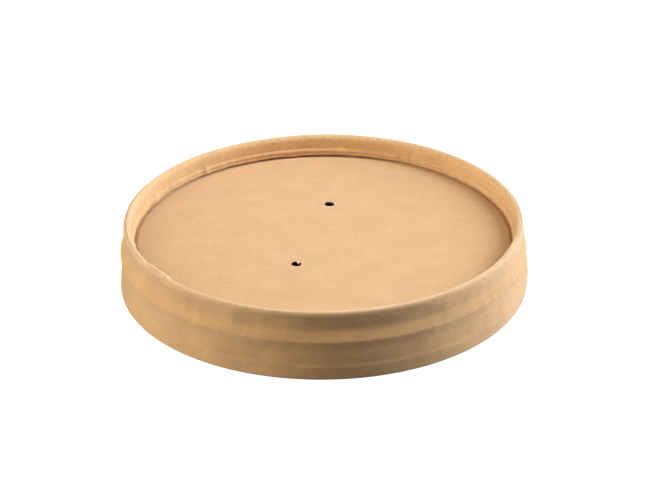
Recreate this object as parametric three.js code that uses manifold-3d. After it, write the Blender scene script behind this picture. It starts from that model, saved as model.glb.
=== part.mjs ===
// Lid of a round paper soup container, made of two pieces of kraft board:
// a top disc with an upturned flange, and a skirt wound from one strip whose ends overlap.
// The skirt's upper edge is folded inwards and down over the flange, its lower edge inwards and up.
// Millimetres, +Z up, origin at the centre of the circle that the lid rests on.

import * as THREE from 'three';
import { mergeVertices } from 'three/addons/utils/BufferGeometryUtils.js';
import Module from 'manifold-3d';

// Board, and the room left between its layers
const boardThickness = 0.5;
const glueGap = 0.15;
const foldGap = 0.3;
const lowerHemGap = 0.6;

// Skirt, from the outside
const crestRadius = 58.2;
const crestDrop = 8.6;
const shoulderRise = 2.7;
const shoulderInset = 1;
const neckInset = 1.6;
const rimBulge = 0.7;
const lidHeight = 20;

// Wall below the crest: how far its belly and foot stand outside the crest and its creases inside,
// and how far the two creases are from the crest and from the lower hem's top
const bellyFlare = 0.22;
const creaseInset = 0.12;
const footFlare = 0.3;
const creaseOffset = 0.9;

// Hem inside the rim: how far its bead, groove and cut edge stand inside its face
const beadRise = 1.5;
const beadHeight = 1.2;
const beadReach = 0.6;
const grooveReach = 0.35;
const hemEdgeReach = 0.55;
const hemClearance = 0.2;

// Hem inside the foot
const lowerHemHeight = 3.9;
const footFlat = 0.3;

// Overlap of the strip's ends: the upper ply's edge is the seam
const seamAngle = 219.5;
const lapWidth = 8;
const lapRamp = 4;
const seamStep = 0.15;
const wallShare = 0.2;

// Top disc: a flat panel with a shallow channel round it
const recessDepth = 6.15;
const channelWidth = 2.6;
const channelDepth = 0.45;
const cornerRadius = 0.8;
const channelFlat = 0.35;
const flangeEdgeGap = 0.6;

// Vent holes
const ventDiameter = 2.7;
const ventPlaces = [{ x: 1.9, y: 20.7 }, { x: -7.6, y: -17.1 }];

// Facets
const facetsRound = 72;
const rimSteps = 5;
const footSteps = 2;
const rampSteps = 4;
const cornerSteps = 3;
const ventFacets = 20;

// Radii of the layers in the rim, from the outside inwards
const neckRadius = crestRadius - neckInset;
const flangeOuterRadius = neckRadius - boardThickness - glueGap;
const flangeInnerRadius = flangeOuterRadius - boardThickness;
const hemFaceRadius = flangeInnerRadius - foldGap - boardThickness;
const rimRadius = neckRadius + rimBulge;

// The rim is a round fold between the hem's face and the rim's outside
const rimFoldRadius = (rimRadius - hemFaceRadius) / 2;
const rimFoldCentre = { r: rimRadius - rimFoldRadius, z: lidHeight - rimFoldRadius };
const panelTop = lidHeight - recessDepth;
const hemEdgeHeight = panelTop + hemClearance;

// Heights of the crest and of the shoulder's top, and the lower hem's place inside the foot
const crestHeight = lidHeight - crestDrop;
const shoulderTop = crestHeight + shoulderRise;
const footRadius = crestRadius + footFlare;
const lowerHemOuterRadius = footRadius - boardThickness - lowerHemGap;

const kraftSkirt = new THREE.MeshStandardMaterial({ color: '#c99a68', roughness: 0.85, metalness: 0 });
const kraftDisc = new THREE.MeshStandardMaterial({ color: '#e0b587', roughness: 0.85, metalness: 0 });

// Points of a round bend, from one angle to another in degrees, anticlockwise from +r
function bend(centre, radius, from, to, steps) {
  const points = [];
  for (let i = 0; i <= steps; i++) {
    const angle = THREE.MathUtils.degToRad(from + (to - from) * i / steps);
    points.push({ r: centre.r + radius * Math.cos(angle), z: centre.z + radius * Math.sin(angle) });
  }
  return points;
}

// A path moved sideways, to the left of its travel where the distance is positive, with mitred corners
function offsetPath(path, distanceAt) {
  return path.map((point, i) => {
    const before = path[Math.max(i - 1, 0)];
    const after = path[Math.min(i + 1, path.length - 1)];
    const arriving = new THREE.Vector2(point.r - before.r, point.z - before.z).normalize();
    const leaving = new THREE.Vector2(after.r - point.r, after.z - point.z).normalize();
    const along = arriving.clone().add(leaving).normalize();
    const straight = arriving.lengthSq() === 0 ? leaving : arriving;
    const mitre = distanceAt(point) / straight.dot(along);
    return { r: point.r - along.y * mitre, z: point.z + along.x * mitre };
  });
}

// The section of a layer of board whose middle follows a path
function layerOutline(path, left, right) {
  return [...offsetPath(path, left), ...offsetPath(path, (point) => -right(point)).reverse()];
}

// Share of the lapped second ply on a round fold's outer face: all of it on the hem's side,
// little on the wall's side, and none on top
function rimShare(point) {
  const lean = (point.r - rimFoldCentre.r) / (rimFoldRadius - boardThickness / 2);
  return lean > 0 ? lean * wallShare : -lean;
}

// Middle of the board from the rim hem's cut edge, over the rim, down the wall and up the lower hem.
// face and back say how much of the lapped second ply shows on the outer and on the hidden face.
function skirtPath() {
  const half = boardThickness / 2;
  const hem = { face: 1, back: 0 };
  const neck = { face: wallShare, back: 0 };
  const wall = { face: wallShare, back: 1 - wallShare };
  const foot = { face: 0, back: 0 };
  const hemRadius = hemFaceRadius + half;
  const beadLevel = hemEdgeHeight + beadRise;
  const neckHeight = (shoulderTop + rimFoldCentre.z) / 2;
  const lowerHemRadius = lowerHemOuterRadius - half;
  const footBend = (footRadius - half - lowerHemRadius - footFlat) / 2;
  const footZ = footBend + half;
  const crease = Math.min(creaseOffset, (crestHeight - lowerHemHeight) / 4);
  const wallLine = (flare, z) => ({ r: crestRadius + flare - half, z, ...wall });
  const onFoot = (point) => ({ ...point, ...foot });
  return [
    { r: hemRadius - hemEdgeReach, z: hemEdgeHeight, ...hem },
    { r: hemRadius - grooveReach, z: (hemEdgeHeight + beadLevel) / 2, ...hem },
    { r: hemRadius - beadReach, z: beadLevel, ...hem },
    { r: hemRadius, z: beadLevel + beadHeight / 2, ...hem },
    ...bend(rimFoldCentre, rimFoldRadius - half, 180, 0, rimSteps)
      .map((point) => ({ ...point, face: rimShare(point), back: 0 })),
    { r: neckRadius - half, z: neckHeight, ...neck },
    { r: crestRadius - shoulderInset - half, z: shoulderTop, ...neck },
    wallLine(0, crestHeight),
    wallLine(-creaseInset, crestHeight - crease),
    wallLine(bellyFlare, (crestHeight + lowerHemHeight) / 2),
    wallLine(creaseInset - bellyFlare / 2, lowerHemHeight + crease),
    wallLine(footFlare, lowerHemHeight),
    ...bend({ r: footRadius - half - footBend, z: footZ }, footBend, 0, -90, footSteps).map(onFoot),
    ...bend({ r: lowerHemRadius + footBend, z: footZ }, footBend, -90, -180, footSteps).map(onFoot),
    { r: lowerHemRadius, z: lowerHemHeight, ...hem },
  ];
}

// Share of the second ply at an angle: full behind the seam for the lap's width, then fading out
function plyShare(angle) {
  const behind = (seamAngle - angle + 360) % 360;
  const run = THREE.MathUtils.degToRad(behind) * crestRadius;
  return 1 - THREE.MathUtils.smoothstep(run, lapWidth, lapWidth + lapRamp);
}

// Angles of the sections: evenly round from the seam, and one more just behind it for the step
function skirtAngles() {
  const angles = [];
  for (let i = 0; i < facetsRound; i++) angles.push(seamAngle + 360 * i / facetsRound);
  angles.push(seamAngle + 360 - THREE.MathUtils.radToDeg(seamStep / crestRadius));
  return angles;
}

// A closed ring whose section may change with the angle
function sectionRing(angles, outlineAt) {
  const positions = [];
  for (const angle of angles) {
    const turn = THREE.MathUtils.degToRad(angle);
    for (const { r, z } of outlineAt(angle)) {
      positions.push(r * Math.cos(turn), r * Math.sin(turn), z);
    }
  }
  const sides = positions.length / 3 / angles.length;
  const index = [];
  for (let i = 0; i < angles.length; i++) {
    const here = i * sides;
    const next = ((i + 1) % angles.length) * sides;
    for (let j = 0; j < sides; j++) {
      const k = (j + 1) % sides;
      index.push(here + j, here + k, next + k, here + j, next + k, next + j);
    }
  }
  const geometry = new THREE.BufferGeometry();
  geometry.setAttribute('position', new THREE.Float32BufferAttribute(positions, 3));
  geometry.setIndex(index);
  geometry.computeVertexNormals();
  return geometry;
}

function skirt() {
  const path = skirtPath();
  const outlineAt = (angle) => {
    const ply = boardThickness * plyShare(angle);
    const face = (point) => boardThickness / 2 + ply * point.face;
    const back = (point) => boardThickness / 2 + ply * point.back;
    return layerOutline(path, face, back);
  };
  return new THREE.Mesh(sectionRing(skirtAngles(), outlineAt), kraftSkirt);
}

// Upper face of the disc from the axis to the flange's top edge
function discPath() {
  const channelStart = flangeInnerRadius - channelWidth;
  const channelEnd = flangeInnerRadius - cornerRadius - channelFlat;
  const channelFloor = panelTop - channelDepth;
  const path = [{ r: 0, z: panelTop }];
  for (let i = 0; i <= rampSteps; i++) {
    const share = i / rampSteps;
    const drop = channelDepth * THREE.MathUtils.smoothstep(share, 0, 1);
    path.push({ r: channelStart + (channelEnd - channelStart) * share, z: panelTop - drop });
  }
  const corner = { r: flangeInnerRadius - cornerRadius, z: channelFloor + cornerRadius };
  path.push(...bend(corner, cornerRadius, -90, 0, cornerSteps));
  path.push({ r: flangeInnerRadius, z: lidHeight - boardThickness - flangeEdgeGap });
  return path;
}

// A closed mesh as a solid that can be cut
function toSolid(wasm, geometry) {
  const bare = geometry.clone();
  bare.deleteAttribute('normal');
  bare.deleteAttribute('uv');
  const merged = mergeVertices(bare);
  return new wasm.Manifold(new wasm.Mesh({
    numProp: 3,
    vertProperties: new Float32Array(merged.attributes.position.array),
    triVerts: new Uint32Array(merged.index.array),
  }));
}

// A solid back as geometry
function toGeometry(solid) {
  const mesh = solid.getMesh();
  const geometry = new THREE.BufferGeometry();
  geometry.setAttribute('position', new THREE.BufferAttribute(mesh.vertProperties, 3));
  geometry.setIndex(new THREE.BufferAttribute(mesh.triVerts, 1));
  geometry.computeVertexNormals();
  return geometry;
}

function topDisc(wasm) {
  const outline = layerOutline(discPath(), () => 0, () => boardThickness).reverse();
  const blank = new THREE.LatheGeometry(outline.map(({ r, z }) => new THREE.Vector2(r, z)), facetsRound);
  const punchLength = 2 * boardThickness;
  let solid = toSolid(wasm, blank.rotateX(Math.PI / 2));
  for (const { x, y } of ventPlaces) {
    const punch = new THREE.CylinderGeometry(ventDiameter / 2, ventDiameter / 2, punchLength, ventFacets);
    punch.rotateX(Math.PI / 2);
    punch.translate(x, y, panelTop - boardThickness / 2);
    solid = solid.subtract(toSolid(wasm, punch));
  }
  return new THREE.Mesh(toGeometry(solid), kraftDisc);
}

const wasm = await Module();
wasm.setup();

const lid = new THREE.Group();
const pieces = { skirt: skirt(), top_disc: topDisc(wasm) };
for (const [name, mesh] of Object.entries(pieces)) {
  mesh.name = name;
  lid.add(mesh);
}

export default lid;
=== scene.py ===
"""Dress of a round paper soup container lid: a kraft skirt folded over a recessed kraft disc.

Lengths are in metres, +Z is up, and the origin is the centre of the circle that the lid rests on.
"""
import math

import bmesh
import bpy
import numpy as np
from bpy.props import FloatProperty, FloatVectorProperty, PointerProperty
from mathutils import Matrix, Vector


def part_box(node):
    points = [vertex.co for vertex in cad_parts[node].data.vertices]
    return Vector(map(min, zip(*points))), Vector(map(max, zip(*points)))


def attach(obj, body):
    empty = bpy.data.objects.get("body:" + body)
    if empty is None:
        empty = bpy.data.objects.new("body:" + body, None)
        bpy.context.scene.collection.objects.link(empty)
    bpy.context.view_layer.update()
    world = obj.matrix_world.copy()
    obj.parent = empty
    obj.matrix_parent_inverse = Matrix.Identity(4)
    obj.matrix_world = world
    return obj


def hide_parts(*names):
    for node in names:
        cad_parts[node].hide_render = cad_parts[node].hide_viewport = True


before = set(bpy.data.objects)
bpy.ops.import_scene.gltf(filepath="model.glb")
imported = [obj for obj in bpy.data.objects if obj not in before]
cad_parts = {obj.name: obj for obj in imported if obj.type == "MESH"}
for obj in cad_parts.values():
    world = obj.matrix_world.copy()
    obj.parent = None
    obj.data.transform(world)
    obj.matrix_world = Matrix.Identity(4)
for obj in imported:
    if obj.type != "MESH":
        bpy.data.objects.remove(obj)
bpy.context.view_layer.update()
SKIRT_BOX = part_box("skirt")
DISC_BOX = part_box("top_disc")

bl_info = {
    "name": "Paper Soup Container Lid",
    "version": (1, 0, 0),
    "blender": (4, 5, 0),
    "location": "View3D > Sidebar > Paper Lid",
    "description": "Builds the folded kraft skirt and the vented top disc of a paper soup container lid",
    "category": "Add Mesh",
}

MM = 0.001

# Board, and the room between its layers
BOARD = 0.5 * MM
GLUE_GAP = 0.15 * MM
FOLD_GAP = 0.3 * MM
FLANGE_EDGE_GAP = 0.6 * MM
LOWER_HEM_GAP = 0.6 * MM

# Section of the skirt
CREST_DROP = 8.6 * MM
SHOULDER_RISE = 3.1 * MM
SHOULDER_INSET = 1.22 * MM
NECK_INSET = 1.6 * MM
NECK_FILL = 0.45 * MM
RIM_BULGE = 0.5 * MM
RIM_INNER_BEND = 1.25 * MM
RIM_OUTER_BEND = 0.5 * MM
RIM_SLOPE = 0.2 * MM
RIM_DEPTH = 0.9 * MM
RIM_FOOT_BEND = 1.2 * MM
NECK_SHARE = 0.6
NECK_BEND = 2.5 * MM
SHOULDER_BEND = 3.5 * MM
CREST_BEND = 0.7 * MM
UPPER_CREASE_DROP = 2.3 * MM
UPPER_CREASE_BEND = 6 * MM
BELLY_SHARE = 0.62
BELLY_FLARE = 0.03 * MM
BELLY_BEND = 8 * MM
CREASE_INSET = 0.12 * MM
LOWER_CREASE_FLARE = 0.14 * MM
CREASE_OFFSET = 0.9 * MM
LOWER_CREASE_BEND = 1.5 * MM
FOOT_FLARE = 0.3 * MM
FOOT_BEND = 0.4 * MM
LOWER_HEM_HEIGHT = 3.9 * MM
BEAD_RISE = 1.5 * MM
BEAD_HEIGHT = 0.7 * MM
BEAD_REACH = 0.6 * MM
BEAD_BEND = 0.3 * MM
GROOVE_REACH = 0.15 * MM
GROOVE_BEND = 0.8 * MM
HEM_FACE_BEND = 0.45 * MM
HEM_EDGE_REACH = 0.6 * MM
HEM_CLEARANCE = 0.2 * MM
HEM_LEAN = 0.35 * MM

# Overlap of the strip's ends
SEAM_AZIMUTH = math.radians(219.5)
LAP_WIDTH = 8 * MM
LAP_RAMP = 4 * MM
SEAM_STEP = 0.15 * MM
SEAM_SLANT = math.radians(1.3)
SLANT_REACH = math.radians(5)

# Shares of the second ply's thickness that show outside, on the wall and on top of the rim
WALL_SHARE = 0.06
TOP_SHARE = 0.85

# Wave of the rim hem's loose edge, the pale band at the rim (partly stretched fibres, partly painted
# highlight), and the painted highlight along the bead
LOOSE_EDGE_WAVE = 0.09 * MM
LOOSE_EDGE_REACH = 0.9 * MM
RIM_PALE_FIBRE_AND_HIGHLIGHT_REACH = 1.7 * MM
BEAD_HIGHLIGHT_REACH = 0.5 * MM
BEAD_HIGHLIGHT_SHARE = 0.5

# Disc
RECESS_DEPTH = 6.15 * MM
CHANNEL_WIDTH = 2.6 * MM
CHANNEL_DEPTH = 0.45 * MM
CORNER_RADIUS = 0.8 * MM
CHANNEL_FLAT = 0.35 * MM
CHANNEL_POINTS = 9
FLAT_POINTS = 14
FLANGE_STEP = 1.2 * MM
FLANGE_WAVE = 0.05 * MM
FLANGE_WAVE_START = 3 * MM
FLANGE_WAVE_FULL = 5 * MM
PANEL_WAVES_MM = (46, 33, 21, 15, 11)
PANEL_FADE_START = 40 * MM
PANEL_FADE_END = 51 * MM

# Vent holes, the rings of points round them and the panel's inner part, which they divide
CELL_RADIUS = 32 * MM
TORN_INNER = 1.5 * MM
TORN_OUTER = 2.0 * MM
TORN_SHARE = 1.8
VENT_STRETCH = 1.1
VENT_UNDERCUT = 0.35 * MM
RULED_POINTS = 11
VENT_GAPS_MM = (0, 0.07, 0.15, 0.26, 0.4, 0.6, 0.9, 1.3, 1.9, 2.8)
ROUND_OFF_REACH = 0.8 * MM
UNDERCUT_REACH = 0.4 * MM
LIP_REACH = 0.38 * MM
DROOP_REACH = 0.35 * MM
DROOP_SHARE = 0.55
VENTS = (
    {"x": 1.9 * MM, "y": 20.7 * MM, "flaps": ((250, 0.22, 40), (20, 0.12, 25))},
    {"x": -7.6 * MM, "y": -17.1 * MM, "flaps": ((62, 0.50, 16), (350, 0.12, 22), (262, 0.15, 45))},
)

# Mesh
STATIONS = 600
PATH_STEP = 0.5 * MM
BEND_STEP = math.radians(16)
MERGE_DISTANCE = 0.002 * MM

# Material numbers of a piece's faces
PLAIN_SIDE, FILM_SIDE, CUT_EDGE = 0, 1, 2

# Camera, for an image of 650 x 502 pixels
IMAGE_WIDTH = 650
FOCAL_PIXELS = 2783.09
CAMERA_DISTANCE = 800 * MM
CAMERA_ELEVATION = math.radians(27.31)
CAMERA_ROLL = math.radians(-0.51)
CAMERA_TARGET = Vector((0.41 * MM, 0, 9.2 * MM))


# Properties

def length(name, description, default):
    """A length property with its default in metres."""
    return FloatProperty(name=name, description=description, default=default, unit="LENGTH", precision=5)


def share(name, description, default):
    """A factor property from 0 upwards."""
    return FloatProperty(name=name, description=description, default=default, min=0, subtype="FACTOR")


def colour(name, description, hex_colour):
    """A colour property whose default is an sRGB hex colour."""
    return FloatVectorProperty(
        name=name, description=description, default=linear(hex_colour), subtype="COLOR", size=3, min=0, max=1)


def linear(hex_colour):
    """Linear red, green and blue of an sRGB hex colour such as c99a68."""
    values = [int(hex_colour[i:i + 2], 16) / 255 for i in (0, 2, 4)]
    return tuple(v / 12.92 if v <= 0.04045 else ((v + 0.055) / 1.055) ** 2.4 for v in values)


class LidSkirtSettings(bpy.types.PropertyGroup):
    """Sizes of the skirt"""

    foot_radius: length("Foot radius", "Widest radius of the skirt", round(SKIRT_BOX[1].x, 4))
    lid_height: length(
        "Lid height", "Height of the rim over the foot", DISC_BOX[1].z + BOARD + FLANGE_EDGE_GAP)
    unevenness: share("Unevenness", "How strongly the board buckles, with 1 as in the photo", 1.0)


class LidDiscSettings(bpy.types.PropertyGroup):
    """Sizes of the disc and its vents"""

    vent_diameter: length("Vent diameter", "Diameter of the punched vent holes", 2.7 * MM)
    panel_wave: length("Panel wave", "How far the flat panel leaves its plane", 0.05 * MM)
    lip_height: length("Vent lip", "How far the punch lifted the board round a vent", 0.10 * MM)


class LidLookSettings(bpy.types.PropertyGroup):
    """Colours of the board and the floor"""

    skirt_colour: colour("Skirt", "Kraft board of the skirt", "d0a16a")
    disc_colour: colour("Disc", "Kraft board of the disc", "d6aa79")
    # Pale colour: torn fibres round the vents; on the skirt partly stretched fibres and partly painted
    # highlight at the rim, and painted highlight at the bead.
    pale_fibre_and_highlight_colour: colour("Stretched folds", "Board whose fibres are stretched pale at a fold", "ecd3ae")
    edge_colour: colour("Cut edge", "Raw edge of the board", "dcbb90")
    fleck_colour: colour("Flecks", "Dark fibres in the board", "a87440")
    floor_colour: colour("Floor", "Plain pale floor", "fbfbfa")


# Outlines

def rounded_line(corners):
    """Points of a line through corners (r, z, bend radius), each bend an arc that touches both sides:
    centre + bend * (cos a, sin a), with a step of at most BEND_STEP."""
    places = np.array([corner[:2] for corner in corners])
    points = [places[0]]
    for i in range(1, len(corners) - 1):
        arriving = places[i] - places[i - 1]
        leaving = places[i + 1] - places[i]
        arriving = arriving / np.linalg.norm(arriving)
        leaving = leaving / np.linalg.norm(leaving)
        turn = math.atan2(np.cross(arriving, leaving), arriving @ leaving)
        side = math.copysign(1, turn) * np.array([-arriving[1], arriving[0]])
        bend = corners[i][2]
        start = places[i] - arriving * bend * math.tan(abs(turn) / 2)
        steps = max(2, math.ceil(abs(turn) / BEND_STEP))
        along = np.linspace(0, abs(turn), steps + 1)[:, None]
        points.extend(start + bend * (arriving * np.sin(along) + side * (1 - np.cos(along))))
    points.append(places[-1])
    return np.array(points)


def filled_line(points, step):
    """The same line with its long straight stretches divided into steps no longer than step."""
    filled = [points[:1]]
    for start, end in zip(points[:-1], points[1:]):
        count = max(1, math.ceil(np.linalg.norm(end - start) / step))
        shares = np.arange(1, count + 1)[:, None] / count
        filled.append(start + (end - start) * shares)
    return np.concatenate(filled)


def line_normals(points):
    """Unit normals to the left of travel: the tangent (dr, dz) turned to (-dz, dr)."""
    tangents = np.gradient(points, axis=0)
    tangents /= np.linalg.norm(tangents, axis=1)[:, None]
    return np.stack([-tangents[:, 1], tangents[:, 0]], axis=1)


def travel(points):
    """Distance along the line to each point."""
    return np.concatenate([[0], np.cumsum(np.linalg.norm(np.diff(points, axis=0), axis=1))])


def smoothstep(value, low, high):
    """3t^2 - 2t^3 with t from 0 at low to 1 at high."""
    t = np.clip((value - low) / (high - low), 0, 1)
    return t * t * (3 - 2 * t)


def hump(value, centre, width):
    """exp(-((value - centre) / width)^2)."""
    return np.exp(-((value - centre) / width) ** 2)


def turn_from(azimuth, centre):
    """Angle from centre to azimuth, from -pi to pi."""
    return (azimuth - centre + math.pi) % (2 * math.pi) - math.pi


def ripple(azimuth, lowest, highest, seed):
    """A wave that closes round the lid: sum of w cos(n azimuth + p) over whole n from lowest to highest,
    with seeded weights w and phases p and a root mean square of about 1."""
    chance = np.random.default_rng(seed)
    counts = np.arange(lowest, highest + 1)
    weights = chance.normal(size=len(counts))
    weights *= math.sqrt(2) / np.linalg.norm(weights)
    phases = chance.uniform(0, 2 * math.pi, len(counts))
    return np.cos(azimuth[..., None] * counts + phases) @ weights


# Mesh writing

def grid_faces(columns, rows, first=0, wrap_columns=True, wrap_rows=False):
    """Quads of a grid whose vertices are numbered row by row within each column."""
    column = np.arange(columns if wrap_columns else columns - 1)[:, None]
    row = np.arange(rows if wrap_rows else rows - 1)[None, :]
    here = column * rows
    there = (column + 1) % columns * rows
    above = (row + 1) % rows
    quads = np.stack([here + row, here + above, there + above, there + row], axis=-1)
    return quads.reshape(-1, 4) + first


def write_piece(name, points, faces, looks, materials, sharp, strip=None):
    """A mesh object from arrays: points, quads, a material number and a sharp flag per face,
    and the place on the unrolled strip and the share of pale colour per point, which stands for stretched
    fibres and painted highlight."""
    mesh = bpy.data.meshes.new(name)
    mesh.from_pydata(points.reshape(-1, 3).tolist(), [], faces.tolist())
    for material in materials:
        mesh.materials.append(material)
    mesh.polygons.foreach_set("material_index", looks.astype(np.int32))
    mesh.polygons.foreach_set("use_smooth", ~sharp)
    if strip is not None:
        attribute = mesh.attributes.new("strip", "FLOAT_VECTOR", "POINT")
        attribute.data.foreach_set("vector", strip.astype(np.float32).ravel())
    mesh.update()
    if mesh.validate():
        raise RuntimeError(f"{name} has faces that are not valid")
    piece = bpy.data.objects.new(name, mesh)
    bpy.context.scene.collection.objects.link(piece)
    return piece


# Skirt

def skirt_corners(settings):
    """Corners (r, z, bend) of the board's middle, from the rim hem's cut edge over the rim,
    down the wall and up the lower hem, with the names of the corners that later steps look for."""
    half = BOARD / 2
    crest = settings.foot_radius - FOOT_FLARE - half
    crest_z = settings.lid_height - CREST_DROP
    neck = crest + half - NECK_INSET
    face = neck - 2 * BOARD - GLUE_GAP - FOLD_GAP - half
    edge_z = settings.lid_height - RECESS_DEPTH + HEM_CLEARANCE
    bead_z = edge_z + BEAD_RISE
    rim = neck + RIM_BULGE - half
    rim_z = settings.lid_height - half
    shoulder_z = crest_z + SHOULDER_RISE
    slope_z = rim_z - RIM_DEPTH
    neck_z = shoulder_z + (slope_z - shoulder_z) * NECK_SHARE
    foot = crest + FOOT_FLARE
    hem = foot - BOARD - LOWER_HEM_GAP
    belly_z = crest_z + (LOWER_HEM_HEIGHT - crest_z) * BELLY_SHARE
    return {
        "hem edge": (face - HEM_EDGE_REACH, edge_z, 0),
        "groove": (face - GROOVE_REACH, (edge_z + bead_z) / 2, GROOVE_BEND),
        "bead": (face - BEAD_REACH, bead_z, BEAD_BEND),
        "hem face": (face, bead_z + BEAD_HEIGHT / 2, HEM_FACE_BEND),
        "rim inside": (face + HEM_LEAN, rim_z, RIM_INNER_BEND),
        "rim outside": (rim - RIM_SLOPE, rim_z, RIM_OUTER_BEND),
        "rim foot": (rim, slope_z, RIM_FOOT_BEND),
        "neck": (neck - half + NECK_FILL, neck_z, NECK_BEND),
        "shoulder": (crest - SHOULDER_INSET, shoulder_z, SHOULDER_BEND),
        "crest": (crest, crest_z, CREST_BEND),
        "upper crease": (crest - CREASE_INSET, crest_z - UPPER_CREASE_DROP, UPPER_CREASE_BEND),
        "belly": (crest + BELLY_FLARE, belly_z, BELLY_BEND),
        "lower crease": (
            crest + LOWER_CREASE_FLARE, LOWER_HEM_HEIGHT + CREASE_OFFSET, LOWER_CREASE_BEND),
        "foot line": (foot, LOWER_HEM_HEIGHT, LOWER_CREASE_BEND),
        "foot outside": (foot, half, FOOT_BEND),
        "foot inside": (hem, half, FOOT_BEND),
        "lower hem edge": (hem, LOWER_HEM_HEIGHT, 0),
    }


def corner_marks(corners, points, distances):
    """Distance along the line to the point nearest to each named corner."""
    marks = {}
    for name, (r, z, _) in corners.items():
        nearest = np.argmin(np.linalg.norm(points - (r, z), axis=1))
        marks[name] = distances[nearest]
    return marks


def ply_share(azimuth, radius):
    """Share of the second ply: 1 behind the seam for LAP_WIDTH, then fading over LAP_RAMP."""
    behind = (SEAM_AZIMUTH - azimuth) % (2 * math.pi) * radius
    return 1 - smoothstep(behind, LAP_WIDTH, LAP_WIDTH + LAP_RAMP)


def lap_shares(distances, marks):
    """How much of the second ply shows on the outer and on the hidden face along the section."""
    stops = [marks[name] for name in (
        "hem face", "rim inside", "rim outside", "rim foot", "foot line", "foot outside", "foot inside",
        "lower hem edge")]
    outer = np.interp(distances, stops, [1, 1, TOP_SHARE, WALL_SHARE, WALL_SHARE, 0, 0, 1])
    hidden = np.interp(
        distances, [marks["shoulder"], marks["crest"], marks["foot line"], marks["foot outside"]],
        [0, 1 - WALL_SHARE, 1 - WALL_SHARE, 0])
    return outer, hidden


# Pleats of the rim hem, as (azimuth in degrees, height over the hem in mm, half width in mm)
HEM_PLEATS = (
    (130, 0.35, 1.0), (146, 0.15, 1.3), (155, 0.45, 1.3), (159, -0.12, 0.9), (84, 0.22, 1.8),
    (77, 0.16, 1.1), (66, 0.24, 1.0), (61, -0.12, 1.1), (27, 0.35, 1.1), (100, 0.10, 1.6),
    (188, 0.30, 1.4), (12, 0.22, 1.3), (340, 0.25, 1.0), (293, 0.2, 1.2), (238, 0.25, 1.1),
)

# Pleats of the lower hem, as (azimuth in degrees, height in mm, half width in mm)
FOOT_PLEATS = tuple((azimuth, 0.32 if azimuth % 2 else -0.2, 0.7) for azimuth in range(5, 360, 13))

# Places where the wall is crimped more, as (azimuth in degrees, strength, half width in degrees)
CRIMPED_PLACES = ((236, 0.7, 26), (318, 0.35, 20))
EVEN_CRIMP = 0.3


def pleats(azimuth, table, radius):
    """Sum of height * exp(-(arc / half width)^2) over a table of pleats, in metres."""
    heights = np.zeros_like(azimuth)
    for degrees, height, half_width in table:
        arc = turn_from(azimuth, math.radians(degrees)) * radius
        heights += height * MM * hump(arc, 0, half_width * MM)
    return heights


def skirt_buckles(azimuth, distances, marks, radius):
    """How far the board leaves its section along its normal, over (station, place along the section):
    sum of amplitude * ripple(azimuth) * window(distance), and the pleats of both hems. Each line of
    fields is an amplitude in mm times a ripple from a lowest to a highest count, then its window."""
    hem = 1 - smoothstep(distances, marks["bead"], marks["rim inside"])
    rim = hump(distances, (marks["rim inside"] + marks["rim outside"]) / 2, 1.6 * MM)
    flare = smoothstep(distances, marks["rim foot"], marks["neck"])
    flare = flare * (1 - smoothstep(distances, marks["shoulder"], marks["crest"]))
    crest = hump(distances, marks["crest"], 1.5 * MM)
    wall = smoothstep(distances, marks["crest"], marks["belly"])
    wall = wall * (1 - smoothstep(distances, marks["foot line"], marks["foot outside"]))
    creases = hump(distances, marks["lower crease"], 1.1 * MM)
    lower = smoothstep(distances, marks["foot inside"], marks["foot inside"] + 1.6 * MM)
    crimped = np.full_like(azimuth, EVEN_CRIMP)
    for degrees, strength, width in CRIMPED_PLACES:
        crimped = crimped + strength * hump(turn_from(azimuth, math.radians(degrees)), 0, math.radians(width))
    fields = (
        (0.22 * np.cos(azimuth), flare + wall),
        (0.070 * ripple(azimuth, 5, 26, 11), hem),
        (0.035 * ripple(azimuth, 60, 130, 12), hem),
        (0.030 * ripple(azimuth, 3, 17, 13), rim),
        (0.075 * ripple(azimuth, 14, 42, 14) * crimped, flare),
        (0.050 * ripple(azimuth, 50, 95, 15) * crimped, crest + 0.6 * flare),
        (0.080 * ripple(azimuth, 5, 22, 16), wall),
        (0.035 * ripple(azimuth, 30, 70, 17) * crimped, wall),
        (0.050 * ripple(azimuth, 9, 33, 18), creases),
        (0.075 * ripple(azimuth, 70, 120, 19), lower),
    )
    buckles = sum(MM * across[:, None] * window[None, :] for across, window in fields)
    low_hem = 1 - smoothstep(distances, marks["bead"] + 0.3 * MM, marks["hem face"] + 1.2 * MM)
    buckles += pleats(azimuth, HEM_PLEATS, radius)[:, None] * low_hem
    buckles += pleats(azimuth, FOOT_PLEATS, radius)[:, None] * lower
    return buckles


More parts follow.
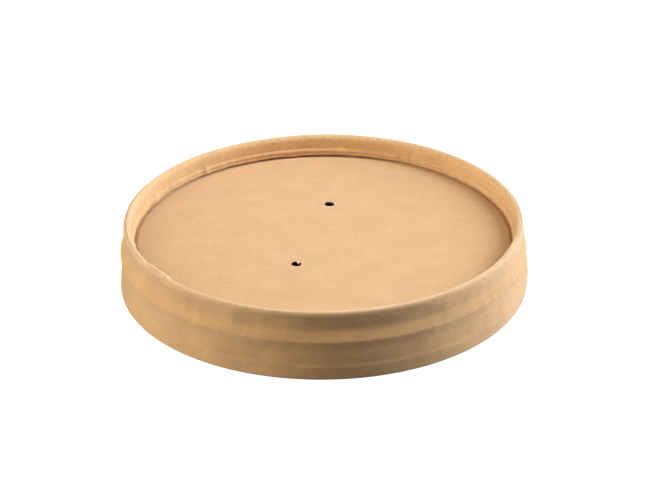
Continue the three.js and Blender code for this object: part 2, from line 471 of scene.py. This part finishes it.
def skirt_points(settings):
    """The skirt's closed section carried round the axis: (r cos t, r sin t, z), with
    (r, z) = middle(s) + normal(s) * (buckle(t, s) +- (BOARD / 2 + ply(t) * lap(s))). The hidden face
    takes every second place. Returns the points, their places on the unrolled strip, the number of
    rows on the outer face, and the row at the foot of the rim."""
    corners = skirt_corners(settings)
    middle = filled_line(rounded_line(list(corners.values())), PATH_STEP)
    normals = line_normals(middle)
    distances = travel(middle)
    marks = corner_marks(corners, middle, distances)
    radius = settings.foot_radius
    azimuth = SEAM_AZIMUTH + np.arange(STATIONS) * 2 * math.pi / STATIONS
    azimuth = np.append(azimuth, SEAM_AZIMUTH + 2 * math.pi - SEAM_STEP / radius)
    buckles = settings.unevenness * skirt_buckles(azimuth, distances, marks, radius)
    ply = BOARD * ply_share(azimuth, radius)[:, None]
    outer, hidden = lap_shares(distances, marks)
    face = buckles + BOARD / 2 + ply * outer
    back = buckles - BOARD / 2 - ply * hidden
    hidden_places = np.append(np.arange(0, len(middle) - 1, 2), len(middle) - 1)[::-1]
    places = np.append(np.arange(len(middle)), hidden_places)
    offsets = np.concatenate([face, back[:, hidden_places]], axis=1)
    section = middle[places][None] + normals[places][None] * offsets[..., None]
    loose_edge = np.exp(-distances[places] / LOOSE_EDGE_REACH)
    section[..., 1] -= LOOSE_EDGE_WAVE * ripple(azimuth, 8, 60, 21)[:, None] * loose_edge
    slant = np.interp(
        distances[places], [marks["hem face"], marks["rim outside"], marks["rim foot"], marks["crest"]],
        [SEAM_SLANT, -0.5 * SEAM_SLANT, -0.5 * SEAM_SLANT, 0])
    near_seam = hump(turn_from(azimuth, SEAM_AZIMUTH), 0, SLANT_REACH)
    turns = azimuth[:, None] + near_seam[:, None] * slant[None, :]
    reach, height = section[..., 0], section[..., 1]
    points = np.stack([reach * np.cos(turns), reach * np.sin(turns), height], axis=-1)
    unrolled = (azimuth - SEAM_AZIMUTH)[:, None] * radius
    # Pale share: at the rim partly stretched fibres and partly painted highlight, at the bead a painted
    # highlight.
    fold = hump(distances, (marks["rim inside"] + marks["rim outside"]) / 2, RIM_PALE_FIBRE_AND_HIGHLIGHT_REACH)
    fold = fold + BEAD_HIGHLIGHT_SHARE * hump(distances, marks["bead"], BEAD_HIGHLIGHT_REACH)
    across, pale = distances[places][None, :], fold[places][None, :]
    strip = np.stack(np.broadcast_arrays(unrolled, across, pale), axis=-1)
    return points, strip, len(middle), np.searchsorted(distances, marks["rim foot"])


class LID_OT_skirt(bpy.types.Operator):
    """Build the kraft skirt with its folded rim, flared wall and lower hem"""

    bl_idname = "lid.skirt"
    bl_label = "Kraft Skirt"
    bl_options = {"REGISTER", "UNDO"}

    def execute(self, context):
        scene = context.scene
        points, strip, face_count, neck_row = skirt_points(scene.lid_skirt)
        stations, around = points.shape[:2]
        faces = grid_faces(stations, around, wrap_rows=True)
        row = np.tile(np.arange(around), stations)
        column = np.repeat(np.arange(stations), around)
        cut = (row == face_count - 1) | (row == around - 1)
        seam = column == stations - 1
        board = np.where(row >= face_count, FILM_SIDE, PLAIN_SIDE)
        looks = np.where(cut | (seam & (row < neck_row)), CUT_EDGE, board)
        materials = [skirt_board(scene.lid_look), coated_board(scene.lid_look), cut_edge(scene.lid_look)]
        piece = write_piece("kraft_skirt", points, faces, looks, materials, cut | seam, strip)
        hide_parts("skirt")
        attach(piece, "root")
        return {"FINISHED"}


# Disc

def panel_height(x, y, top, wave):
    """Height of the panel: top + wave / 2 * sum of sin(k . p + phase) over seeded directions,
    fading to nothing at the channel."""
    chance = np.random.default_rng(31)
    radius = np.hypot(x, y)
    total = np.zeros_like(x)
    for size in PANEL_WAVES_MM:
        heading, phase = chance.uniform(0, 2 * math.pi, 2)
        along = x * math.cos(heading) + y * math.sin(heading)
        total += np.sin(2 * math.pi * along / (size * MM) + phase)
    return top + wave * total / 2 * (1 - smoothstep(radius, PANEL_FADE_START, PANEL_FADE_END))


def disc_section(flange, top):
    """Upper face of the disc outside the vent cells, from the cells' edge to the flange's top."""
    start = flange - CHANNEL_WIDTH
    end = flange - CORNER_RADIUS - CHANNEL_FLAT
    floor = top - CHANNEL_DEPTH
    shares = np.linspace(0, 1, CHANNEL_POINTS)
    drop = CHANNEL_DEPTH * smoothstep(shares, 0, 1)
    slope = np.stack([start + (end - start) * shares, top - drop], axis=1)
    reach = np.linspace(CELL_RADIUS, start, FLAT_POINTS)[:-1]
    flat = np.stack([reach, np.full_like(reach, top)], axis=1)
    corner = rounded_line([
        (*slope[-1], 0), (flange, floor, CORNER_RADIUS), (flange, DISC_BOX[1].z, 0)])
    return np.concatenate([flat, slope, filled_line(corner, FLANGE_STEP)[1:]])


def disc_ring(flange, top, settings):
    """The channel and flange: the section's upper face, then its lower face, which lies BOARD below it
    along the normal."""
    upper = disc_section(flange, top)
    lower = (upper - line_normals(upper) * BOARD)[::-1]
    lower[0, 1] = upper[-1, 1]
    lower[-1, 0] = upper[0, 0]
    section = np.concatenate([upper, lower])
    azimuth = cell_azimuth() + np.arange(STATIONS) * 2 * math.pi / STATIONS
    x = section[:, 0] * np.cos(azimuth)[:, None]
    y = section[:, 0] * np.sin(azimuth)[:, None]
    lift = panel_height(x, y, 0, settings.panel_wave)
    near_top = smoothstep(section[:, 1], top + FLANGE_WAVE_START, top + FLANGE_WAVE_FULL)
    edge = FLANGE_WAVE * ripple(azimuth, 6, 40, 32)[:, None] * near_top
    return np.stack([x, y, section[:, 1] + lift + edge], axis=-1), len(upper)


def cell_azimuth():
    """Direction of the line that divides the panel between its two vents, square to the line joining them."""
    first, second = VENTS
    return math.atan2(first["y"] - second["y"], first["x"] - second["x"]) - math.pi / 2


def cell_border(number):
    """Half of the cells' circle and the dividing line back through the axis, as a closed loop of points."""
    start = cell_azimuth() + number * math.pi
    azimuth = start + np.arange(STATIONS // 2 + 1) * 2 * math.pi / STATIONS
    circle = CELL_RADIUS * np.stack([np.cos(azimuth), np.sin(azimuth)], axis=1)
    back = np.linspace(-1, 1, STATIONS // 6 + 1)[1:-1, None]
    return np.concatenate([circle, back * circle[0]])


def vent_radius(direction, vent, radius):
    """Radius of a punched hole: stretch * radius * (1 - sum of depth * hump) over its torn flaps,
    slightly out of round."""
    round_share = 1 + 0.025 * np.cos(2 * direction + 0.7) + 0.018 * np.cos(5 * direction + 2.1)
    for degrees, depth, width in vent["flaps"]:
        away = turn_from(direction, math.radians(degrees))
        round_share = round_share - depth * hump(away, 0, math.radians(width))
    return VENT_STRETCH * radius * round_share


def vent_cell(number, top, settings):
    """A cell's two sheets: rings that follow the vent's edge, then straight lines out to the border,
    P = (1 - t) ring + t border. The lower sheet runs inwards and the upper one outwards. Round the
    vent the edge lifts into a lip, its flaps droop, and the lower sheet is cut wider than the upper."""
    vent = VENTS[number]
    centre = np.array([vent["x"], vent["y"]])
    border = cell_border(number)
    outwards = border - centre
    direction = np.arctan2(outwards[:, 1], outwards[:, 0])
    heading = np.stack([np.cos(direction), np.sin(direction)], axis=1)
    edge = vent_radius(direction, vent, settings.vent_diameter / 2)
    gaps = MM * np.array(VENT_GAPS_MM)
    round_off = 1 - np.exp(-gaps / ROUND_OFF_REACH)
    missing = (settings.vent_diameter / 2 - edge)[:, None]
    reach = edge[:, None] + missing * round_off + gaps
    rings = centre + heading[:, None] * reach[..., None]
    shares = np.linspace(0, 1, RULED_POINTS)[1:]
    ruled = rings[:, -1:] * (1 - shares[:, None]) + border[:, None] * shares[:, None]
    flat = np.concatenate([rings, ruled], axis=1)
    height = panel_height(flat[..., 0], flat[..., 1], top, settings.panel_wave)
    distance = np.append(gaps, np.full(len(shares), 1))
    spread = VENT_UNDERCUT * np.exp(-distance / UNDERCUT_REACH)
    under = flat + heading[:, None] * spread[:, None]
    torn = 1 + 0.5 * np.sin(direction + 0.6) + 0.35 * np.sin(3 * direction + number)
    lip = settings.lip_height * torn[:, None] * np.exp(-distance / LIP_REACH)
    droop = missing * np.exp(-distance / DROOP_REACH) * DROOP_SHARE
    upper = np.concatenate([flat, (height + lip - droop)[..., None]], axis=-1)
    lower = np.concatenate([under, (height - BOARD + 0.5 * lip - droop)[..., None]], axis=-1)
    return np.concatenate([lower[:, ::-1], upper], axis=1), flat.shape[1]


def merge_close(mesh, distance):
    """Joins the points where the ring and the cells meet."""
    work = bmesh.new()
    work.from_mesh(mesh)
    bmesh.ops.remove_doubles(work, verts=work.verts, dist=distance)
    work.to_mesh(mesh)
    work.free()


class LID_OT_disc(bpy.types.Operator):
    """Build the recessed top disc with its channel, flange and torn vent holes"""

    bl_idname = "lid.disc"
    bl_label = "Kraft Top Disc"
    bl_options = {"REGISTER", "UNDO"}

    def execute(self, context):
        scene = context.scene
        settings = scene.lid_disc
        top = scene.lid_skirt.lid_height - RECESS_DEPTH
        flange = scene.lid_skirt.foot_radius - FOOT_FLARE - NECK_INSET - 2 * BOARD - GLUE_GAP
        ring, upper_count = disc_ring(flange, top, settings)
        sheets = [(ring, upper_count, (PLAIN_SIDE, FILM_SIDE))]
        for number in range(len(VENTS)):
            sheets.append((*vent_cell(number, top, settings), (FILM_SIDE, PLAIN_SIDE)))
        points, faces, looks, sharp = [], [], [], []
        first = 0
        for sheet, turn_row, (before, after) in sheets:
            columns, rows = sheet.shape[:2]
            row = np.tile(np.arange(rows - 1), columns)
            cut = row == turn_row - 1
            points.append(sheet.reshape(-1, 3))
            faces.append(grid_faces(columns, rows, first))
            looks.append(np.where(cut, CUT_EDGE, np.where(row < turn_row, before, after)))
            sharp.append(cut)
            first += columns * rows
        materials = [disc_board(scene.lid_look), coated_board(scene.lid_look), cut_edge(scene.lid_look)]
        piece = write_piece(
            "kraft_top_disc", np.concatenate(points), np.concatenate(faces), np.concatenate(looks), materials,
            np.concatenate(sharp))
        merge_close(piece.data, MERGE_DISTANCE)
        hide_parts("top_disc")
        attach(piece, "root")
        return {"FINISHED"}


# Materials

def add_node(tree, kind, inputs=None, **settings):
    """A node with its settings, and its inputs set to values or linked to sockets."""
    node = tree.nodes.new(kind)
    for name, value in settings.items():
        setattr(node, name, value)
    for name, value in (inputs or {}).items():
        if isinstance(value, bpy.types.NodeSocket):
            tree.links.new(value, node.inputs[name])
        else:
            node.inputs[name].default_value = value
    return node


def mixed(tree, factor, first, second, blend="MIX"):
    """Colour mix of two colours or sockets, as a socket."""
    node = add_node(tree, "ShaderNodeMix", {0: factor}, data_type="RGBA", blend_type=blend)
    for socket, value in ((node.inputs[6], first), (node.inputs[7], second)):
        if isinstance(value, bpy.types.NodeSocket):
            tree.links.new(value, socket)
        else:
            socket.default_value = (*value, 1)
    return node.outputs[2]


def scaled(tree, vector, scale):
    """A place times a scale per axis."""
    return add_node(tree, "ShaderNodeVectorMath", {0: vector, 1: scale}, operation="MULTIPLY").outputs[0]


def noise(tree, vector, per_mm, detail=3.0, roughness=0.55):
    """Noise with per_mm blobs a millimetre along each axis."""
    place = scaled(tree, vector, tuple(count / MM for count in per_mm))
    return add_node(tree, "ShaderNodeTexNoise", {"Vector": place, "Scale": 1.0, "Detail": detail,
                                                 "Roughness": roughness}).outputs["Fac"]


def stepped(tree, value, low, high, to_low=0.0, to_high=1.0):
    """A value taken from the range low..high to to_low..to_high, held at its ends."""
    return add_node(tree, "ShaderNodeMapRange", {
        "Value": value, "From Min": low, "From Max": high, "To Min": to_low, "To Max": to_high}).outputs[0]


def kraft(name, place, base, look, strength, fold=None):
    """Uncoated kraft board: cloudy brown pulp, fine fibres along the first axis, short dark flecks,
    and the faint relief and dull sheen of pressed fibres."""
    material = bpy.data.materials.new(name)
    material.use_nodes = True
    tree = material.node_tree
    tree.nodes.clear()
    vector = place(tree)
    clouds = noise(tree, vector, (0.10, 0.16, 0.16), 4.0)
    pulp = noise(tree, vector, (0.7, 1.1, 1.1), 3.0)
    fibres = noise(tree, vector, (0.55, 5.5, 5.5), 4.0, 0.62)
    flecks = noise(tree, vector, (1.3, 4.6, 4.6), 1.0)
    darker = tuple(0.80 * channel for channel in base)
    lighter = tuple(min(1, 1.13 * channel) for channel in base)
    tone = mixed(tree, stepped(tree, clouds, 0.3, 0.7), darker, lighter)
    tone = mixed(tree, strength, base, tone)
    grain = mixed(tree, stepped(tree, fibres, 0.33, 0.67), (0.86, 0.84, 0.80), (1.09, 1.10, 1.12))
    tone = mixed(tree, 0.8 * strength, tone, grain, "MULTIPLY")
    patch = mixed(tree, stepped(tree, pulp, 0.35, 0.65), (0.93, 0.92, 0.90), (1.06, 1.06, 1.07))
    tone = mixed(tree, 0.6, tone, patch, "MULTIPLY")
    tone = mixed(tree, stepped(tree, flecks, 0.70, 0.80, 0.0, 0.5), tone, tuple(look.fleck_colour))
    # Mixes in the pale colour by the given share: torn fibres round the vents; on the skirt, stretched fibres
    # and painted highlight at the rim and painted highlight at the bead.
    if fold is not None:
        pale_fibre_and_highlight_share = add_node(tree, "ShaderNodeMath", {0: fold(tree), 1: stepped(tree, pulp, 0.3, 0.6, 0.15, 0.4)},
                        operation="MULTIPLY").outputs[0]
        tone = mixed(tree, pale_fibre_and_highlight_share, tone, tuple(look.pale_fibre_and_highlight_colour))
    relief = add_node(tree, "ShaderNodeMath", {0: fibres, 1: pulp}, operation="ADD").outputs[0]
    bump = add_node(tree, "ShaderNodeBump", {"Height": relief, "Strength": 0.35, "Distance": 0.06 * MM})
    dullness = stepped(tree, fibres, 0.3, 0.7, 0.72, 0.86)
    shader = add_node(tree, "ShaderNodeBsdfPrincipled", {
        "Base Color": tone, "Normal": bump.outputs[0], "Roughness": dullness})
    shader.inputs["Specular IOR Level"].default_value = 0.35
    shader.inputs["Sheen Weight"].default_value = 0.25
    shader.inputs["Sheen Roughness"].default_value = 0.55
    shader.inputs["Sheen Tint"].default_value = (1.0, 0.93, 0.83, 1)
    add_node(tree, "ShaderNodeOutputMaterial", {"Surface": shader.outputs[0]})
    return material, shader


def strip_place(tree):
    """Place on the unrolled strip: along it, then across it."""
    strip = add_node(tree, "ShaderNodeAttribute", attribute_name="strip").outputs["Vector"]
    return add_node(tree, "ShaderNodeVectorMath", {0: strip, 1: (1, 1, 0)}, operation="MULTIPLY").outputs[0]


def strip_pale_fibre_and_highlight(tree):
    """Share of pale colour, which the strip's third value holds: partly stretched fibres and partly painted
    highlight at the rim, painted highlight at the bead.
    """
    strip = add_node(tree, "ShaderNodeAttribute", attribute_name="strip").outputs["Vector"]
    return add_node(tree, "ShaderNodeSeparateXYZ", {0: strip}).outputs[2]


def object_place(tree):
    """Place on the object."""
    return add_node(tree, "ShaderNodeTexCoord").outputs["Object"]


def skirt_board(look):
    """Kraft board of the skirt: its fibres run round the lid; its rim is paler, partly from stretched fibres
    and partly as painted highlight, and its bead carries a painted highlight.
    """
    material, shader = kraft(
        "kraft_board_skirt", strip_place, tuple(look.skirt_colour), look, 0.5, strip_pale_fibre_and_highlight)
    shader.inputs["Sheen Weight"].default_value = 0.38
    shader.inputs["Sheen Tint"].default_value = (1.0, 0.96, 0.93, 1)
    return material


def vent_rings(tree):
    """Share of torn fibres round the vent holes: it fades with the distance from each centre."""
    flat = scaled(tree, object_place(tree), (1, 1, 0))
    share = 0.0
    for vent in VENTS:
        away = add_node(tree, "ShaderNodeVectorMath", {0: flat, 1: (vent["x"], vent["y"], 0)},
                        operation="DISTANCE").outputs["Value"]
        ring = stepped(tree, away, TORN_INNER, TORN_OUTER, TORN_SHARE, 0.0)
        share = add_node(tree, "ShaderNodeMath", {0: ring, 1: share}, operation="MAXIMUM").outputs[0]
    return share


def disc_board(look):
    """Kraft board of the disc: its fibres run straight across, and are torn pale round the vent holes."""
    return kraft("kraft_board_disc", object_place, tuple(look.disc_colour), look, 0.27, vent_rings)[0]


def coated_board(look):
    """Inner side of the board: the same brown under a thin clear film that gives it a soft gloss."""
    base = tuple(0.9 * channel for channel in look.skirt_colour)
    material, shader = kraft("kraft_board_film_side", object_place, base, look, 0.5)
    shader.inputs["Coat Weight"].default_value = 0.35
    shader.inputs["Coat Roughness"].default_value = 0.38
    return material


def cut_edge(look):
    """Raw cut edge of the board: paler pulp with stronger clouds, because no pressed face covers it."""
    return kraft("kraft_cut_edge", object_place, tuple(look.edge_colour), look, 0.9)[0]


# Radii between which the floor's glow comes up, both just inside the foot line, and its strength
GLOW_START = 57.2 * MM
GLOW_FULL = 57.6 * MM
GLOW = 0.75


def floor_paint(look):
    """Plain pale floor that glows a little outside the lid, so that it stays as white as a studio sweep."""
    material = bpy.data.materials.new("studio_floor")
    material.use_nodes = True
    tree = material.node_tree
    shader = tree.nodes["Principled BSDF"]
    tint = (*look.floor_colour, 1)
    shader.inputs["Base Color"].default_value = tint
    shader.inputs["Roughness"].default_value = 0.9
    shader.inputs["Specular IOR Level"].default_value = 0.1
    shader.inputs["Emission Color"].default_value = tint
    radius = add_node(tree, "ShaderNodeVectorMath", {0: object_place(tree)},
                      operation="LENGTH").outputs["Value"]
    glow = stepped(tree, radius, GLOW_START, GLOW_FULL, 0.0, GLOW)
    tree.links.new(glow, shader.inputs["Emission Strength"])
    return material


# Stage

FLOOR_HALF = 3.0
FLOOR_DROP = 0.02 * MM
BOX_DISTANCE = 1.0
BOX_SIZE = 0.5

# Soft boxes, as (name, azimuth and elevation in degrees, power in watts, colour)
SOFT_BOXES = (
    ("key_right", 5, 40, 11.0, (0.89, 0.95, 1.0)),
    ("low_right", 2, 12, 4.9, (1.0, 0.97, 0.96)),
    ("low_back_right", 34, 12, 6.5, (0.75, 0.87, 1.0)),
    ("key_left", 195, 40, 5.9, (1.0, 0.80, 0.55)),
    ("low_left", 184, 12, 6.0, (0.76, 0.91, 1.0)),
    ("low_front_left", 217, 12, 2.6, (1.0, 0.98, 0.95)),
)
WORLD_TINT = (1.0, 0.93, 0.84, 1)
WORLD_STRENGTH = 0.004


def soft_box(name, azimuth, elevation, power, tint):
    """A square soft box that faces the lid."""
    turn, rise = math.radians(azimuth), math.radians(elevation)
    level = math.cos(rise)
    place = BOX_DISTANCE * Vector((math.cos(turn) * level, math.sin(turn) * level, math.sin(rise)))
    light = bpy.data.lights.new(name, "AREA")
    light.shape = "SQUARE"
    light.size = BOX_SIZE
    light.energy = power
    light.color = tint
    item = bpy.data.objects.new(name, light)
    item.location = place
    item.rotation_euler = (-place).to_track_quat("-Z", "Y").to_euler()
    bpy.context.scene.collection.objects.link(item)


def studio_camera():
    """The camera at the photo's viewing angle, level but for a small roll. Its turn maps its own x, y
    and z to the world's x, to up and away, and to back towards the viewer."""
    camera = bpy.data.cameras.new("photo_camera")
    camera.sensor_width = 36
    camera.lens = FOCAL_PIXELS * camera.sensor_width / IMAGE_WIDTH
    camera.clip_start = 10 * MM
    camera.clip_end = 20
    backwards = Vector((0, -math.cos(CAMERA_ELEVATION), math.sin(CAMERA_ELEVATION)))
    level = Matrix((
        (1, 0, 0), (0, math.sin(CAMERA_ELEVATION), -math.cos(CAMERA_ELEVATION)),
        (0, math.cos(CAMERA_ELEVATION), math.sin(CAMERA_ELEVATION)))).to_4x4()
    item = bpy.data.objects.new("photo_camera", camera)
    place = Matrix.Translation(CAMERA_TARGET + CAMERA_DISTANCE * backwards)
    item.matrix_world = place @ level @ Matrix.Rotation(CAMERA_ROLL, 4, "Z")
    bpy.context.scene.collection.objects.link(item)
    bpy.context.scene.camera = item


class LID_OT_stage(bpy.types.Operator):
    """Build the pale floor, the soft studio light and the camera"""

    bl_idname = "lid.stage"
    bl_label = "Stage, Light and Camera"
    bl_options = {"REGISTER", "UNDO"}

    def execute(self, context):
        scene = context.scene
        corners = [(x * FLOOR_HALF, y * FLOOR_HALF, 0) for x, y in ((-1, -1), (1, -1), (1, 1), (-1, 1))]
        mesh = bpy.data.meshes.new("floor")
        mesh.from_pydata(corners, [], [(0, 1, 2, 3)])
        mesh.materials.append(floor_paint(scene.lid_look))
        floor = bpy.data.objects.new("floor", mesh)
        floor.location.z = -FLOOR_DROP
        floor.visible_diffuse = False
        scene.collection.objects.link(floor)
        for box in SOFT_BOXES:
            soft_box(*box)
        world = bpy.data.worlds.new("studio")
        world.use_nodes = True
        background = world.node_tree.nodes["Background"]
        background.inputs["Color"].default_value = WORLD_TINT
        background.inputs["Strength"].default_value = WORLD_STRENGTH
        scene.world = world
        scene.view_settings.view_transform = "Standard"
        studio_camera()
        return {"FINISHED"}


# Sidebar

class LID_PT_panel(bpy.types.Panel):
    """Sizes and colours of the lid, and a button for each piece"""

    bl_idname = "LID_PT_panel"
    bl_label = "Paper Lid"
    bl_space_type = "VIEW_3D"
    bl_region_type = "UI"
    bl_category = "Paper Lid"

    def draw(self, context):
        layout = self.layout
        for settings in (context.scene.lid_skirt, context.scene.lid_disc, context.scene.lid_look):
            box = layout.box()
            for name in settings.__annotations__:
                box.prop(settings, name)
        for operator in OPERATORS:
            layout.operator(operator.bl_idname)


OPERATORS = (LID_OT_skirt, LID_OT_disc, LID_OT_stage)
CLASSES = (LidSkirtSettings, LidDiscSettings, LidLookSettings, *OPERATORS, LID_PT_panel)
SETTINGS = {"lid_skirt": LidSkirtSettings, "lid_disc": LidDiscSettings, "lid_look": LidLookSettings}


def register():
    for item in CLASSES:
        bpy.utils.register_class(item)
    for name, group in SETTINGS.items():
        setattr(bpy.types.Scene, name, PointerProperty(type=group))


def unregister():
    for name in SETTINGS:
        delattr(bpy.types.Scene, name)
    for item in reversed(CLASSES):
        bpy.utils.unregister_class(item)


def main():
    register()
    bpy.ops.lid.skirt()
    bpy.ops.lid.disc()
    bpy.ops.lid.stage()


if __name__ == "__main__":
    main()
